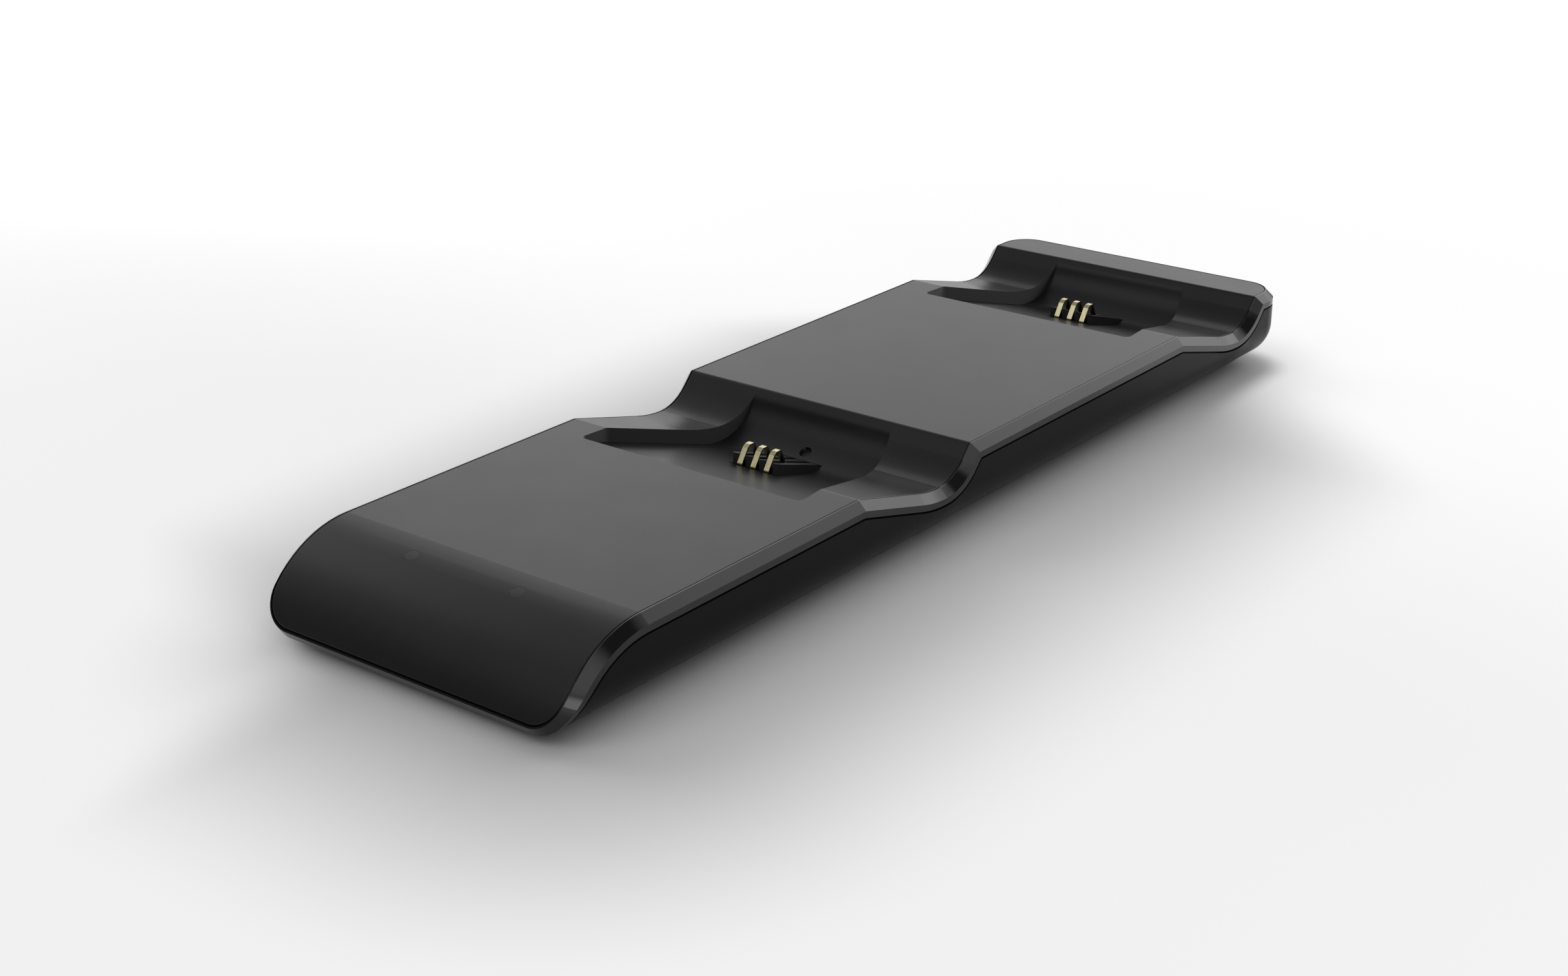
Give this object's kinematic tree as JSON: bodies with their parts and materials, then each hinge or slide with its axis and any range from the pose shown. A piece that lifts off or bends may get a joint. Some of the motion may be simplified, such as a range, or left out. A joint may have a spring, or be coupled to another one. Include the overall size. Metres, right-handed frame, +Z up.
{
  "type": "game controller charging dock",
  "caption": "Low charging dock for game controllers, with sloped dips, battery wells, sprung contact strips and a gloss rim round a matte deck.",
  "frame": {"origin": "under the middle of the dock, on the surface that it stands on", "axes": "+X across the dock, to the right seen from the rounded nose; +Y along the dock, from the nose to the rear lip; +Z up"},
  "size_m": [0.0912, 0.3036, 0.0219],
  "materials": {
    "deck": "fine matte moulded texture",
    "gloss_rim": "high gloss black",
    "housing": "satin black",
    "comb": "plain moulded black",
    "board": "lacquered circuit board",
    "lamp": "clear resin",
    "light_guide": "dark translucent",
    "gold_contact": "gold plated, bright",
    "socket_metal": "plated sheet steel",
    "screw_metal": "dark zinc",
    "rubber_foot": "soft matte"
  },
  "bodies": {
    "dock": {"top_cover": "deck", "rim_trim": "gloss_rim", "lower_housing": "housing", "contact_comb_front": "comb", "contact_comb_rear": "comb", "contact_board_front": "board", "contact_board_rear": "board", "main_board": "board", "indicator_board": "board", "inlet_board": "board", "status_lamp_left": "lamp", "status_lamp_right": "lamp", "light_guide_left": "light_guide", "light_guide_right": "light_guide", "power_inlet": "socket_metal", "housing_screws": "screw_metal", "board_screws": "screw_metal", "rubber_foot_front_left": "rubber_foot", "rubber_foot_front_right": "rubber_foot", "rubber_foot_rear_left": "rubber_foot", "rubber_foot_rear_right": "rubber_foot"},
    "contact_front_left": {"contact_front_left": "gold_contact"},
    "contact_front_middle": {"contact_front_middle": "gold_contact"},
    "contact_front_right": {"contact_front_right": "gold_contact"},
    "contact_rear_left": {"contact_rear_left": "gold_contact"},
    "contact_rear_middle": {"contact_rear_middle": "gold_contact"},
    "contact_rear_right": {"contact_rear_right": "gold_contact"}
  },
  "joints": [
    {"name": "contact_front_left_travel", "type": "slide", "parent": "dock", "child": "contact_front_left", "axis": [0, 0, -1], "range_m": [0, 0.001], "stiffness_N_per_m": 300},
    {"name": "contact_front_middle_travel", "type": "slide", "parent": "dock", "child": "contact_front_middle", "axis": [0, 0, -1], "range_m": [0, 0.001], "stiffness_N_per_m": 300},
    {"name": "contact_front_right_travel", "type": "slide", "parent": "dock", "child": "contact_front_right", "axis": [0, 0, -1], "range_m": [0, 0.001], "stiffness_N_per_m": 300},
    {"name": "contact_rear_left_travel", "type": "slide", "parent": "dock", "child": "contact_rear_left", "axis": [0, 0, -1], "range_m": [0, 0.001], "stiffness_N_per_m": 300},
    {"name": "contact_rear_middle_travel", "type": "slide", "parent": "dock", "child": "contact_rear_middle", "axis": [0, 0, -1], "range_m": [0, 0.001], "stiffness_N_per_m": 300},
    {"name": "contact_rear_right_travel", "type": "slide", "parent": "dock", "child": "contact_rear_right", "axis": [0, 0, -1], "range_m": [0, 0.001], "stiffness_N_per_m": 300}
  ]
}
